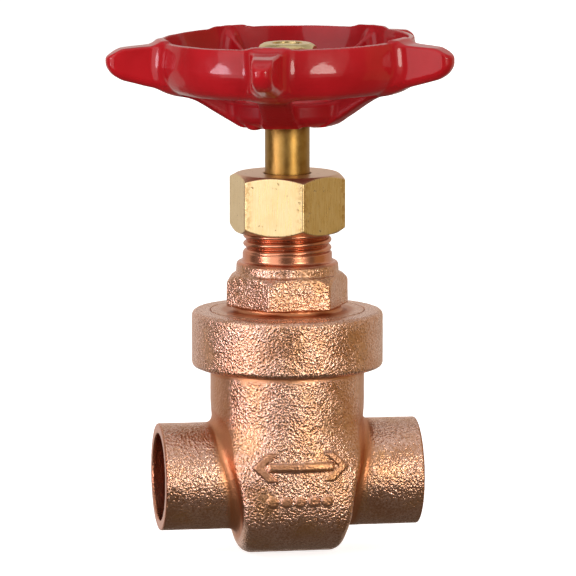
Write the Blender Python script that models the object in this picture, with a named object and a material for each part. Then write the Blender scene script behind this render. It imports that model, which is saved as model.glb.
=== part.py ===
"""Gate valve for 15 mm (half inch) copper tube: bronze body with solder cups, screwed bonnet,
non-rising stem and a red handwheel.

The origin is where the pipe line (X) and the stem (Z) cross. The flow runs along X, the handwheel
is at the top. The valve is modelled shut. Turning the handwheel counter-clockwise, seen from
above, turns the stem in its left-hand thread and lifts the wedge.
"""

import math

import bmesh
import bpy
from mathutils import Matrix, Vector

# ---------------------------------------------------------------- driving dimensions (metres)
GAP = 0.0003  # clearance kept between neighbouring pieces
TINY = 1e-7
BEYOND = 0.001  # how far a cutter runs past the face it cuts

# Pipe line
CUP_BORE_RADIUS = 0.0080  # takes copper tube of 15.9 mm outer diameter
CUP_OUTER_RADIUS = 0.00995
CUP_DEPTH = 0.0127
HALF_LENGTH = 0.0240  # stem axis to the face of a cup
PORT_RADIUS = 0.00635

# Body casting
NECK_RADIUS = 0.01415
BODY_DEPTH = 0.0144  # stem crossing down to the underside
BODY_BOTTOM_HALF_WIDTH = 0.0100  # along the pipe, near the underside
TAPER_BOTTOM_Z = -0.0100
TAPER_TOP_Z = 0.0110
TAPER_POWER = 1.4
NECK_POWER = 2.0  # superellipse power of the plan section
UNDERSIDE_POWER = 4.0
CHAMBER_RADIUS = 0.0115
POCKET_RADIUS = 0.0110
RIB_HALF_WIDTH = 0.0011
RIB_INNER_Y = 0.0074
RIB_BOTTOM_Z = -0.0040
RIB_TOP_Z = 0.0190

# Body ring that takes the bonnet
RING_RADIUS = 0.01760
RING_BOTTOM_Z = 0.0200
RING_TOP_Z = 0.0305
COUNTERBORE_RADIUS = 0.0141
COUNTERBORE_Z = 0.0276

# Seats and wedge
SEAT_TILT = math.tan(math.radians(5.0))
WEDGE_HALF_THICKNESS = 0.0056  # at the pipe axis
WEDGE_RADIUS = 0.00775
WEDGE_TOP_Z = 0.0119
SEAT_RADIUS = 0.00795
SEAT_HALF_GAP = WEDGE_HALF_THICKNESS + GAP
POCKET_RELIEF = 0.0012  # pocket wall behind the seat faces
WEDGE_BOSS_RADIUS = 0.0057
WEDGE_EAR_Y = 0.0086
WEDGE_EAR_HALF_WIDTH = 0.0036
WEDGE_EAR_BOTTOM_Z = -0.0025
WEDGE_EAR_TOP_Z = 0.0060

# Stem
STEM_RADIUS = 0.0041
SHANK_RADIUS = 0.00385
SCREW_PITCH = 0.0025  # left-hand
SCREW_CREST = 0.00375
SCREW_ROOT = 0.0028
SCREW_CLEARANCE = 0.00025
SCREW_BOTTOM_Z = 0.0063
SCREW_TOP_Z = 0.0267
WEDGE_SCREW_BOTTOM_Z = 0.0049
COLLAR_Z = 0.0400 + GAP
COLLAR_HEIGHT = 0.0022
COLLAR_RADIUS = 0.0058
SQUARE_SIDE = 0.0058
STEM_TIP_RADIUS = 0.0022
STEM_TIP_Z = 0.0786

# Bonnet
BONNET_SCREW_PITCH = 0.0020
BONNET_SCREW_CREST = 0.0120
BONNET_SCREW_ROOT = 0.0111
BONNET_SKIRT_Z = 0.0213
BONNET_CAVITY_RADIUS = 0.00925
BONNET_FLANGE_RADIUS = 0.0138
BONNET_FLANGE_Z = 0.0290
WASHER_FACE_RADIUS = 0.0099
BONNET_HEX_Z = 0.0313
BONNET_HEX_TOP_Z = 0.0373
BONNET_HEX_FLATS = 0.0200
BONNET_HEX_TURN = math.radians(3.3)
BOSS_RADIUS = 0.00955
BOSS_TOP_Z = 0.0396
NECK_COLLAR_RADIUS = 0.0082
NECK_COLLAR_TOP_Z = 0.0413
STUFFING_RADIUS = 0.0061
STUFFING_Z = 0.0400
BONNET_TOP_Z = 0.0520

# Packing nut and what it presses on
NUT_PITCH = 0.0015
NUT_MALE_CREST = 0.0081
NUT_MALE_ROOT = 0.0074
PACKING_NUT_Z = 0.0449
PACKING_NUT_TOP_Z = 0.0557
PACKING_NUT_ROOF_Z = 0.0538
PACKING_NUT_FLATS = 0.0190
PACKING_NUT_TURN = math.radians(35.8)
PACKING_OUTER = 0.0058
PACKING_INNER = 0.0044
PACKING_WASHER_HEIGHT = 0.0008
PACKING_RING_HEIGHT = 0.0013
PACKING_RING_COUNT = 4
GLAND_FLANGE_RADIUS = 0.0073
GLAND_FLANGE_HEIGHT = 0.0012

# Handwheel, heights from the underside of its hub
WHEEL_Z = 0.0648
HUB_RADIUS = 0.0092
HUB_HEIGHT = 0.0087
WHEEL_HEIGHT = 0.0166
RIM_RADIUS = 0.0239
RIM_BOTTOM = 0.0067
SPOKE_WIDTH = 0.0054
WINDOW_INNER_RADIUS = 0.0108
WINDOW_OUTER_RADIUS = 0.0203
LOBE_COUNT = 5
LOBE_TIP_RADIUS = 0.0335
RIB_DRAFT = 0.27  # how fast a spoke's rib narrows upwards
LOBE_FIRST_ANGLE = math.radians(-107.7)
WHEEL_WASHER_RADIUS = 0.0056
WHEEL_WASHER_HEIGHT = 0.0006
WHEEL_NUT_FLATS = 0.0100
WHEEL_NUT_HEIGHT = 0.0048
WHEEL_NUT_TURN = math.radians(11.5)

# Roundness
FINE = 48
ROUND = 36
SMALL = 28
THREAD_SEGMENTS = 24

# name: (colour, roughness, metallic)
MATERIALS = {
    "cast_bronze": ((0.62, 0.31, 0.17, 1.0), 0.42, 1.0),
    "machined_bronze": ((0.66, 0.36, 0.20, 1.0), 0.30, 1.0),
    "stem_brass": ((0.56, 0.36, 0.15, 1.0), 0.28, 1.0),
    "nut_brass": ((0.74, 0.58, 0.28, 1.0), 0.30, 1.0),
    "red_enamel": ((0.46, 0.012, 0.018, 1.0), 0.18, 0.0),
    "graphite_packing": ((0.05, 0.05, 0.05, 1.0), 0.75, 0.0),
    "gasket_fibre": ((0.10, 0.20, 0.16, 1.0), 0.80, 0.0),
    "zinc_steel": ((0.62, 0.62, 0.60, 1.0), 0.35, 1.0),
}


# ---------------------------------------------------------------- helpers
def clear_scene():
    for old in list(bpy.data.objects):
        bpy.data.objects.remove(old, do_unlink=True)


def material(name):
    """The named material, made on first use."""
    found = bpy.data.materials.get(name)
    if found:
        return found
    colour, roughness, metallic = MATERIALS[name]
    made = bpy.data.materials.new(name)
    made.use_nodes = True
    shader = made.node_tree.nodes["Principled BSDF"]
    shader.inputs["Base Color"].default_value = colour
    shader.inputs["Roughness"].default_value = roughness
    shader.inputs["Metallic"].default_value = metallic
    made.diffuse_color = colour
    return made


def add_object(name, bm, material_name, z=0.0):
    """Object with outward normals and smooth round faces, placed at height z on the stem axis."""
    bmesh.ops.recalc_face_normals(bm, faces=bm.faces[:])
    mesh = bpy.data.meshes.new(name)
    bm.to_mesh(mesh)
    bm.free()
    mesh.materials.append(material(material_name))
    mesh.shade_smooth()
    mesh.set_sharp_from_angle(angle=math.radians(32))
    made = bpy.data.objects.new(name, mesh)
    made.location.z = z
    bpy.context.scene.collection.objects.link(made)
    return made


def combine(target, operation, name, bm):
    """Boolean of target with the shape bm, which stays in the file as a hidden guide."""
    guide = add_object(name, bm, target.data.materials[0].name, target.location.z)
    guide.hide_render = True
    guide.display_type = "WIRE"
    step = target.modifiers.new(name, "BOOLEAN")
    step.operation = operation
    step.object = guide
    step.solver = "EXACT"


def circle_point(radius, angle, height):
    return (radius * math.cos(angle), radius * math.sin(angle), height)


def lathe(outline, segments=ROUND):
    """Solid turned about Z from (radius, height) points. An outline that starts and ends on the
    axis is solid; one that stays clear of it is closed on itself into a ring."""
    bm = bmesh.new()
    rings = []
    for radius, height in outline:
        if radius < TINY:
            rings.append([bm.verts.new((0.0, 0.0, height))])
            continue
        angles = (2 * math.pi * k / segments for k in range(segments))
        rings.append([bm.verts.new(circle_point(radius, angle, height)) for angle in angles])
    pairs = list(zip(rings, rings[1:]))
    if outline[0][0] > TINY:
        pairs.append((rings[-1], rings[0]))
    for low, high in pairs:
        for k in range(segments):
            after = (k + 1) % segments
            if len(low) == 1:
                bm.faces.new((low[0], high[k], high[after]))
            elif len(high) == 1:
                bm.faces.new((low[k], high[0], low[after]))
            else:
                bm.faces.new((low[k], high[k], high[after], low[after]))
    return bm


def along_x(bm):
    """Turns a shape made about Z so that its axis lies along X."""
    bm.transform(Matrix.Rotation(math.pi / 2, 4, "Y"))
    return bm


def plug(radius, bottom, top, segments=SMALL):
    return lathe([(0.0, bottom), (radius, bottom), (radius, top), (0.0, top)], segments)


def ring(inner, outer, height, segments=ROUND):
    return lathe([(inner, 0.0), (outer, 0.0), (outer, height), (inner, height)], segments)


def loft(sections):
    """Closed solid through loops of points, with flat ends."""
    bm = bmesh.new()
    loops = [[bm.verts.new(point) for point in section] for section in sections]
    count = len(loops[0])
    for low, high in zip(loops, loops[1:]):
        for k in range(count):
            after = (k + 1) % count
            bm.faces.new((low[k], low[after], high[after], high[k]))
    bm.faces.new(loops[0])
    bm.faces.new(loops[-1])
    return bm


def box(low, high):
    """Solid from corner to corner; the two corners may be given in either order along each axis."""
    corners = ((low[0], low[1]), (high[0], low[1]), (high[0], high[1]), (low[0], high[1]))
    return loft([[(x, y, z) for x, y in corners] for z in (low[2], high[2])])


def hexagon(across_flats, bottom, top, turn):
    radius = across_flats / math.sqrt(3)
    angles = [turn + math.radians(60 * k) for k in range(6)]
    return loft([[circle_point(radius, angle, z) for angle in angles] for z in (bottom, top)])


def superellipse(half_x, half_y, power, count):
    """Points of |x/a|^n + |y/b|^n = 1, counter-clockwise."""
    points = []
    for k in range(count):
        angle = 2 * math.pi * k / count
        c, s = math.cos(angle), math.sin(angle)
        x = math.copysign(abs(c) ** (2 / power), c) * half_x
        y = math.copysign(abs(s) ** (2 / power), s) * half_y
        points.append((x, y))
    return points


def threaded_rod(root, crest, pitch, bottom, top, hand=1, clearance=0.0, segments=THREAD_SEGMENTS):
    """Solid rod with one helical ridge, right-handed for hand 1 and left-handed for hand -1. With
    a clearance it is the space that the matching nut needs. Both ends are cut flat. Above the +X
    axis the ridge lies at whole pitches from the origin, so that equal threads always mesh."""
    bm = bmesh.new()
    crest_half = 0.14 * pitch + clearance
    base_half = 0.30 * pitch + clearance
    corners = ((-base_half, root), (-crest_half, crest), (crest_half, crest), (base_half, root))
    first_turn = math.floor(bottom / pitch) - 2
    turns = math.ceil(top / pitch) + 2 - first_turn
    columns = []
    for k in range(segments):
        start = first_turn * pitch + hand * pitch * k / segments
        column = []
        for turn in range(turns):
            for offset, radius in corners:
                height = start + turn * pitch + offset
                point = circle_point(radius + clearance, 2 * math.pi * k / segments, height)
                column.append(bm.verts.new(point))
        columns.append(column)
    per_turn = len(corners)
    for k in range(segments):
        column = columns[k]
        after = columns[(k + 1) % segments]
        shift = hand * per_turn if k == segments - 1 else 0
        for j in range(len(column) - 1):
            if 0 <= j + shift and j + shift + 1 < len(after):
                bm.faces.new((column[j], after[j + shift], after[j + shift + 1], column[j + 1]))
    for height, direction in ((bottom, -1), (top, 1)):
        cut = bmesh.ops.bisect_plane(
            bm,
            geom=bm.verts[:] + bm.edges[:] + bm.faces[:],
            plane_co=(0, 0, height),
            plane_no=(0, 0, direction),
            clear_outer=True,
        )
        rim = [item for item in cut["geom_cut"] if isinstance(item, bmesh.types.BMEdge)]
        bmesh.ops.edgeloop_fill(bm, edges=rim)
    return bm


# ---------------------------------------------------------------- body
def casting_section(z):
    """Plan section of the body casting at height z: round at the neck, squarer and narrower
    along the pipe towards the rounded underside."""
    share = min(max((z - TAPER_BOTTOM_Z) / (TAPER_TOP_Z - TAPER_BOTTOM_Z), 0.0), 1.0)
    half_x = BODY_BOTTOM_HALF_WIDTH + (NECK_RADIUS - BODY_BOTTOM_HALF_WIDTH) * share**TAPER_POWER
    half_y = NECK_RADIUS
    depth = max(-z / BODY_DEPTH, 0.0)
    half_x *= (1 - depth**6) ** (1 / 6)
    half_y *= (1 - depth**3) ** (1 / 3)
    power = NECK_POWER + (UNDERSIDE_POWER - NECK_POWER) * (1 - share) ** 0.5
    return [(x, y, z) for x, y in superellipse(half_x, half_y, power, ROUND)]


def seat_tube(side):
    """Raised seat on one side of the wedge, its face tilted to the wedge's taper."""
    sections = []
    for outer_end in (True, False):
        loop = []
        for k in range(ROUND):
            y, z, _ = circle_point(SEAT_RADIUS, 2 * math.pi * k / ROUND, 0)
            x = SEAT_HALF_GAP + POCKET_RELIEF + 0.0015 if outer_end else SEAT_HALF_GAP + z * SEAT_TILT
            loop.append((side * x, y, z))
        sections.append(loop)
    return loft(sections)


def pocket():
    """Space for the wedge below the neck: U-shaped across the pipe, tapered along it."""
    wall = SEAT_HALF_GAP + POCKET_RELIEF
    top = TAPER_TOP_Z
    outline = [(POCKET_RADIUS, top)]
    for k in range(ROUND // 2 + 1):
        angle = -math.pi * k / (ROUND // 2)
        outline.append((POCKET_RADIUS * math.cos(angle), POCKET_RADIUS * math.sin(angle)))
    outline.append((-POCKET_RADIUS, top))
    return loft([[(side * (wall + z * SEAT_TILT), y, z) for y, z in outline] for side in (-1, 1)])


def make_body():
    bottom_levels = [-BODY_DEPTH * math.sin(math.radians(a)) for a in (85, 75, 65, 55, 42, 28, 14)]
    levels = bottom_levels + [0.0, 0.004, 0.008, TAPER_TOP_Z, RING_BOTTOM_Z + 0.001]
    body = add_object("body", loft([casting_section(z) for z in levels]), "cast_bronze")

    chamfer = 0.0004
    end = HALF_LENGTH
    cups = [(0, -end), (CUP_OUTER_RADIUS - chamfer, -end), (CUP_OUTER_RADIUS, -end + chamfer)]
    cups += [(radius, -x) for radius, x in reversed(cups)]
    combine(body, "UNION", "cup_outside", along_x(lathe(cups, ROUND)))

    ring_outline = [
        (0, RING_BOTTOM_Z - 0.0004),
        (NECK_RADIUS + 0.0006, RING_BOTTOM_Z - 0.0004),
        (RING_RADIUS - 0.0006, RING_BOTTOM_Z),
        (RING_RADIUS - 0.0001, RING_BOTTOM_Z + 0.0005),
        (RING_RADIUS, RING_BOTTOM_Z + 0.0015),
        (RING_RADIUS - 0.0001, RING_TOP_Z - 0.0012),
        (RING_RADIUS - 0.0003, RING_TOP_Z - 0.0005),
        (RING_RADIUS - 0.0009, RING_TOP_Z),
        (0, RING_TOP_Z),
    ]
    combine(body, "UNION", "bonnet_ring", lathe(ring_outline, FINE))
    combine(body, "DIFFERENCE", "wedge_pocket", pocket())

    chamber = [
        (0, TAPER_TOP_Z - 0.0030),
        (CHAMBER_RADIUS - 0.0012, TAPER_TOP_Z - 0.0030),
        (CHAMBER_RADIUS, TAPER_TOP_Z),
        (CHAMBER_RADIUS, COUNTERBORE_Z - 0.0005),
        (BONNET_SCREW_CREST + GAP, COUNTERBORE_Z),
        (COUNTERBORE_RADIUS, COUNTERBORE_Z),
        (COUNTERBORE_RADIUS, RING_TOP_Z + BEYOND),
        (0, RING_TOP_Z + BEYOND),
    ]
    combine(body, "DIFFERENCE", "chamber", lathe(chamber, FINE))
    thread = threaded_rod(
        BONNET_SCREW_ROOT,
        BONNET_SCREW_CREST,
        BONNET_SCREW_PITCH,
        BONNET_SKIRT_Z - 0.0006,
        COUNTERBORE_Z + 0.0008,
        clearance=GAP,
    )
    combine(body, "DIFFERENCE", "bonnet_thread_space", thread)
    for side, label in ((-1, "inlet"), (1, "outlet")):
        combine(body, "UNION", label + "_seat", seat_tube(side))
    for side, label in ((-1, "front"), (1, "back")):
        low = (-RIB_HALF_WIDTH, side * RIB_INNER_Y, RIB_BOTTOM_Z)
        high = (RIB_HALF_WIDTH, side * (CHAMBER_RADIUS + BEYOND), RIB_TOP_Z)
        combine(body, "UNION", label + "_guide_rib", box(low, high))

    stop = HALF_LENGTH - CUP_DEPTH
    bore = [(0, -end - BEYOND), (CUP_BORE_RADIUS, -end - BEYOND)]
    bore += [(CUP_BORE_RADIUS, -stop), (PORT_RADIUS, -stop)]
    bore += [(radius, -x) for radius, x in reversed(bore)]
    combine(body, "DIFFERENCE", "waterway", along_x(lathe(bore, ROUND)))
    return body


# ---------------------------------------------------------------- bonnet and gasket
def make_bonnet():
    edge = 0.0002
    outline = [
        (0, BONNET_SKIRT_Z + 0.003),
        (BONNET_SCREW_ROOT - 0.0008, BONNET_SKIRT_Z + 0.003),
        (BONNET_SCREW_ROOT - 0.0008, BONNET_FLANGE_Z),
        (BONNET_FLANGE_RADIUS, BONNET_FLANGE_Z),
        (BONNET_FLANGE_RADIUS, RING_TOP_Z - edge),
        (BONNET_FLANGE_RADIUS - edge, RING_TOP_Z),
        (WASHER_FACE_RADIUS, RING_TOP_Z),
        (WASHER_FACE_RADIUS, BONNET_HEX_Z + edge),
        (BOSS_RADIUS, BONNET_HEX_Z + 0.001),
        (BOSS_RADIUS, BOSS_TOP_Z - 0.0006),
        (BOSS_RADIUS - 0.0005, BOSS_TOP_Z),
        (NECK_COLLAR_RADIUS, BOSS_TOP_Z),
        (NECK_COLLAR_RADIUS, NECK_COLLAR_TOP_Z),
        (0, NECK_COLLAR_TOP_Z),
    ]
    bonnet = add_object("bonnet", lathe(outline, ROUND), "cast_bronze")
    hexagonal = hexagon(BONNET_HEX_FLATS, BONNET_HEX_Z, BONNET_HEX_TOP_Z, BONNET_HEX_TURN)
    combine(bonnet, "UNION", "bonnet_hexagon", hexagonal)
    lower = threaded_rod(
        BONNET_SCREW_ROOT, BONNET_SCREW_CREST, BONNET_SCREW_PITCH, BONNET_SKIRT_Z, BONNET_FLANGE_Z + 0.0006
    )
    combine(bonnet, "UNION", "bonnet_thread", lower)
    upper = threaded_rod(NUT_MALE_ROOT, NUT_MALE_CREST, NUT_PITCH, NECK_COLLAR_TOP_Z - 0.0008, BONNET_TOP_Z)
    combine(bonnet, "UNION", "packing_nut_thread", upper)
    roof = BONNET_SKIRT_Z + 0.0057
    bore = [
        (0, BONNET_SKIRT_Z - BEYOND),
        (BONNET_CAVITY_RADIUS, BONNET_SKIRT_Z - BEYOND),
        (BONNET_CAVITY_RADIUS, roof),
        (SHANK_RADIUS + GAP, roof + 0.0016),
        (SHANK_RADIUS + GAP, STUFFING_Z),
        (STUFFING_RADIUS, STUFFING_Z),
        (STUFFING_RADIUS, BONNET_TOP_Z + BEYOND),
        (0, BONNET_TOP_Z + BEYOND),
    ]
    combine(bonnet, "DIFFERENCE", "bonnet_bore", lathe(bore, ROUND))
    return bonnet


def make_bonnet_gasket():
    inner = BONNET_SCREW_CREST + 1.3 * GAP
    height = BONNET_FLANGE_Z - COUNTERBORE_Z - 2 * GAP
    shape = ring(inner, BONNET_FLANGE_RADIUS, height, FINE)
    return add_object("bonnet_gasket", shape, "gasket_fibre", COUNTERBORE_Z + GAP)


# ---------------------------------------------------------------- wedge and stem
def make_wedge():
    loops = []
    for side in (-1, 1):
        loop = []
        for k in range(ROUND):
            y, z, _ = circle_point(WEDGE_RADIUS, 2 * math.pi * k / ROUND, 0)
            loop.append((side * (WEDGE_HALF_THICKNESS + z * SEAT_TILT), y, z))
        loops.append(loop)
    wedge = add_object("wedge", loft(loops), "machined_bronze")
    boss = [(0, 0.001), (WEDGE_BOSS_RADIUS, 0.001), (WEDGE_BOSS_RADIUS, WEDGE_TOP_Z - 0.0004)]
    boss += [(WEDGE_BOSS_RADIUS - 0.0004, WEDGE_TOP_Z), (0, WEDGE_TOP_Z)]
    combine(wedge, "UNION", "wedge_boss", lathe(boss, SMALL))
    low = (-WEDGE_EAR_HALF_WIDTH, -WEDGE_EAR_Y, WEDGE_EAR_BOTTOM_Z)
    high = (WEDGE_EAR_HALF_WIDTH, WEDGE_EAR_Y, WEDGE_EAR_TOP_Z)
    combine(wedge, "UNION", "wedge_ears", box(low, high))
    slot_half = RIB_HALF_WIDTH + GAP
    slot_y = RIB_INNER_Y - GAP
    for side, label in ((-1, "front"), (1, "back")):
        low = (-slot_half, side * slot_y, -WEDGE_RADIUS - BEYOND)
        high = (slot_half, side * (WEDGE_EAR_Y + BEYOND), WEDGE_RADIUS + BEYOND)
        combine(wedge, "DIFFERENCE", label + "_guide_slot", box(low, high))
    hole = SCREW_CREST + SCREW_CLEARANCE + 0.0001
    bore = plug(hole, -WEDGE_RADIUS - BEYOND, WEDGE_SCREW_BOTTOM_Z)
    combine(wedge, "DIFFERENCE", "wedge_bore", bore)
    thread = threaded_rod(
        SCREW_ROOT,
        SCREW_CREST,
        SCREW_PITCH,
        WEDGE_SCREW_BOTTOM_Z - BEYOND,
        WEDGE_TOP_Z + BEYOND,
        hand=-1,
        clearance=SCREW_CLEARANCE,
    )
    combine(wedge, "DIFFERENCE", "wedge_thread", thread)
    return wedge


def make_stem():
    square_bottom = WHEEL_Z - GAP
    square_top = WHEEL_Z + HUB_HEIGHT - GAP
    outline = [
        (0, SCREW_TOP_Z),
        (SHANK_RADIUS, SCREW_TOP_Z),
        (SHANK_RADIUS, COLLAR_Z),
        (COLLAR_RADIUS, COLLAR_Z),
        (COLLAR_RADIUS, COLLAR_Z + COLLAR_HEIGHT),
        (STEM_RADIUS, COLLAR_Z + COLLAR_HEIGHT),
        (STEM_RADIUS, square_bottom - 0.0002),
        (STEM_RADIUS - 0.0002, square_bottom),
        (STEM_TIP_RADIUS, square_bottom),
        (STEM_TIP_RADIUS, STEM_TIP_Z - 0.0004),
        (STEM_TIP_RADIUS - 0.0004, STEM_TIP_Z),
        (0, STEM_TIP_Z),
    ]
    stem = add_object("stem", lathe(outline, SMALL), "stem_brass")
    screw = threaded_rod(
        SCREW_ROOT, SCREW_CREST, SCREW_PITCH, SCREW_BOTTOM_Z, SCREW_TOP_Z + 0.0006, hand=-1
    )
    combine(stem, "UNION", "stem_screw", screw)
    half = SQUARE_SIDE / 2
    square = box((-half, -half, square_bottom - 0.0005), (half, half, square_top))
    combine(stem, "UNION", "stem_square", square)
    return stem


# ---------------------------------------------------------------- packing
def make_packing():
    """Washer, packing rings and gland stacked on the stem's collar inside the stuffing box."""
    z = COLLAR_Z + COLLAR_HEIGHT + GAP
    washer = ring(PACKING_INNER, PACKING_OUTER, PACKING_WASHER_HEIGHT, SMALL)
    add_object("packing_washer", washer, "nut_brass", z)
    z += PACKING_WASHER_HEIGHT + GAP
    for k in range(PACKING_RING_COUNT):
        shape = ring(PACKING_INNER, PACKING_OUTER, PACKING_RING_HEIGHT, SMALL)
        add_object(f"packing_ring_{k + 1}", shape, "graphite_packing", z)
        z += PACKING_RING_HEIGHT + GAP
    flange_bottom = BONNET_TOP_Z + 1.3 * GAP - z
    flange_top = flange_bottom + GLAND_FLANGE_HEIGHT
    gland = [
        (PACKING_INNER, 0),
        (PACKING_OUTER, 0),
        (PACKING_OUTER, flange_bottom),
        (GLAND_FLANGE_RADIUS, flange_bottom),
        (GLAND_FLANGE_RADIUS, flange_top),
        (PACKING_INNER, flange_top),
    ]
    add_object("gland", lathe(gland, SMALL), "nut_brass", z)


def make_packing_nut():
    nut = add_object(
        "packing_nut",
        hexagon(PACKING_NUT_FLATS, PACKING_NUT_Z, PACKING_NUT_TOP_Z, PACKING_NUT_TURN),
        "nut_brass",
    )
    corner = PACKING_NUT_FLATS / math.sqrt(3)
    face = 0.0093
    mouth_face = 0.0095
    barrel = [
        (0, PACKING_NUT_Z - 0.0001),
        (mouth_face - 0.0002, PACKING_NUT_Z - 0.0001),
        (corner + 0.0001, PACKING_NUT_Z + 0.0011),
        (corner + 0.0001, PACKING_NUT_TOP_Z - 0.0009),
        (face - 0.0002, PACKING_NUT_TOP_Z + 0.0001),
        (0, PACKING_NUT_TOP_Z + 0.0001),
    ]
    combine(nut, "INTERSECT", "packing_nut_chamfers", lathe(barrel, FINE))
    thread = threaded_rod(
        NUT_MALE_ROOT,
        NUT_MALE_CREST,
        NUT_PITCH,
        PACKING_NUT_Z - BEYOND,
        PACKING_NUT_ROOF_Z,
        clearance=GAP,
    )
    combine(nut, "DIFFERENCE", "packing_nut_thread_space", thread)
    bore = plug(STEM_RADIUS + GAP, PACKING_NUT_Z, PACKING_NUT_TOP_Z + BEYOND)
    combine(nut, "DIFFERENCE", "packing_nut_hole", bore)
    return nut


# ---------------------------------------------------------------- handwheel
def window(angle):
    """Opening between two spokes, its sides parallel to the spokes beside it."""
    half_spoke = SPOKE_WIDTH / 2
    reach = math.radians(180 / LOBE_COUNT)
    outline = []
    for radius, order in ((WINDOW_INNER_RADIUS, 1), (WINDOW_OUTER_RADIUS, -1)):
        half_angle = reach - math.asin(half_spoke / radius)
        steps = 6
        for k in range(steps + 1):
            turn = order * half_angle * (2 * k / steps - 1)
            outline.append((radius, angle + turn))
    bottom, top = -BEYOND, WHEEL_HEIGHT + BEYOND
    return loft([[circle_point(radius, turn, z) for radius, turn in outline] for z in (bottom, top)])


def lobe(angle):
    """Grip lobe on the rim, tapering to a blunt rounded tip. Each station is (radius, half width,
    underside, top), the heights from the underside of the hub."""
    out = LOBE_TIP_RADIUS
    stations = (
        (0.0215, 0.0068, 0.0066, 0.0158),
        (0.0236, 0.0046, 0.0070, 0.0156),
        (0.0262, 0.0034, 0.0078, 0.0154),
        (0.0295, 0.0028, 0.0090, 0.0151),
        (out - 0.0014, 0.0023, 0.0098, 0.0149),
        (out - 0.0003, 0.0015, 0.0108, 0.0139),
        (out, 0.0010, 0.0114, 0.0133),
    )
    turn = Matrix.Rotation(angle, 4, "Z")
    sections = []
    for radius, half_width, low, high in stations:
        middle = (low + high) / 2
        flat = superellipse(half_width, (high - low) / 2, 3.2, 16)
        sections.append([turn @ Vector((radius, y, middle + z)) for y, z in flat])
    return loft(sections)


def spoke_rib(angle):
    """Rib along the top of one spoke, from the hub up to the lip of the rim, narrow at its crest.
    Each station is (radius, foot, crest), the heights from the underside of the hub."""
    turn = Matrix.Rotation(angle, 4, "Z")
    stations = ((0.0070, 0.0010, 0.0074), (0.0160, 0.0056, 0.0121), (RIM_RADIUS - 0.0012, 0.0120, 0.0160))
    sections = []
    for radius, low, high in stations:
        base = SPOKE_WIDTH / 2 - 0.0001
        crest = base - RIB_DRAFT * (high - low)
        corners = ((-base, low), (base, low), (crest, high), (-crest, high))
        sections.append([turn @ Vector((radius, y, z)) for y, z in corners])
    return loft(sections)


def make_handwheel():
    top = WHEEL_HEIGHT
    web = 0.0032
    outline = [
        (0, 0),
        (HUB_RADIUS - 0.0005, 0),
        (HUB_RADIUS + 0.0006, 0.0005),
        (0.0164, 0.0050),
        (0.0185, 0.0057),
        (0.0214, RIM_BOTTOM),
        (0.0230, RIM_BOTTOM + 0.0011),
        (RIM_RADIUS - 0.0001, RIM_BOTTOM + 0.0036),
        (RIM_RADIUS, RIM_BOTTOM + 0.0044),
        (RIM_RADIUS - 0.0001, RIM_BOTTOM + 0.0052),
        (RIM_RADIUS - 0.0004, top - 0.0004),
        (RIM_RADIUS - 0.0009, top),
        (RIM_RADIUS - 0.0014, top - 0.0003),
        (0.0214, RIM_BOTTOM + 0.0060),
        (0.0200, RIM_BOTTOM + 0.0030),
        (0.0160, 0.0048 + web),
        (0.0100, 0.0008 + web),
        (0.0080, HUB_HEIGHT - 0.0026),
        (0.0076, HUB_HEIGHT),
        (0, HUB_HEIGHT),
    ]
    wheel = add_object("handwheel", lathe(outline, FINE), "red_enamel", WHEEL_Z)
    step = 2 * math.pi / LOBE_COUNT
    for k in range(LOBE_COUNT):
        angle = LOBE_FIRST_ANGLE + k * step
        combine(wheel, "UNION", f"lobe_{k + 1}", lobe(angle))
        combine(wheel, "DIFFERENCE", f"window_{k + 1}", window(angle + step / 2))
        combine(wheel, "UNION", f"rib_{k + 1}", spoke_rib(angle))
    half = SQUARE_SIDE / 2 + GAP
    square = box((-half, -half, -BEYOND), (half, half, HUB_HEIGHT + BEYOND))
    combine(wheel, "DIFFERENCE", "hub_square", square)
    return wheel


def make_wheel_fasteners():
    z = WHEEL_Z + HUB_HEIGHT + GAP
    washer = ring(STEM_TIP_RADIUS + GAP, WHEEL_WASHER_RADIUS, WHEEL_WASHER_HEIGHT, SMALL)
    add_object("wheel_washer", washer, "zinc_steel", z)
    z += WHEEL_WASHER_HEIGHT + GAP
    flats = hexagon(WHEEL_NUT_FLATS, 0, WHEEL_NUT_HEIGHT, WHEEL_NUT_TURN)
    nut = add_object("handwheel_nut", flats, "nut_brass", z)
    corner = WHEEL_NUT_FLATS / math.sqrt(3)
    face = WHEEL_NUT_FLATS / 2 - 0.0003
    barrel = [(0, -0.0001), (corner + 0.0001, -0.0001), (corner + 0.0001, WHEEL_NUT_HEIGHT - 0.0006)]
    barrel += [(face, WHEEL_NUT_HEIGHT + 0.0001), (0, WHEEL_NUT_HEIGHT + 0.0001)]
    combine(nut, "INTERSECT", "handwheel_nut_chamfer", lathe(barrel, SMALL))
    bore = plug(STEM_TIP_RADIUS + GAP, -BEYOND, WHEEL_NUT_HEIGHT + BEYOND)
    combine(nut, "DIFFERENCE", "handwheel_nut_hole", bore)


def main():
    clear_scene()
    make_body()
    make_bonnet()
    make_bonnet_gasket()
    make_wedge()
    make_stem()
    make_packing()
    make_packing_nut()
    make_handwheel()
    make_wheel_fasteners()


main()
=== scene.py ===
"""Looks of a small bronze gate valve with solder cups and a red handwheel.

Castings and the packing nut are meshed from distance functions, so that cast fillets, worn edges
and threads are real geometry. Turned pieces are lathed. All sizes are in metres in the row frame:
X along the pipe, Z up the stem, the origin where they cross.
"""

import math

import bpy
import numpy as np
from mathutils import Matrix, Vector

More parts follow.
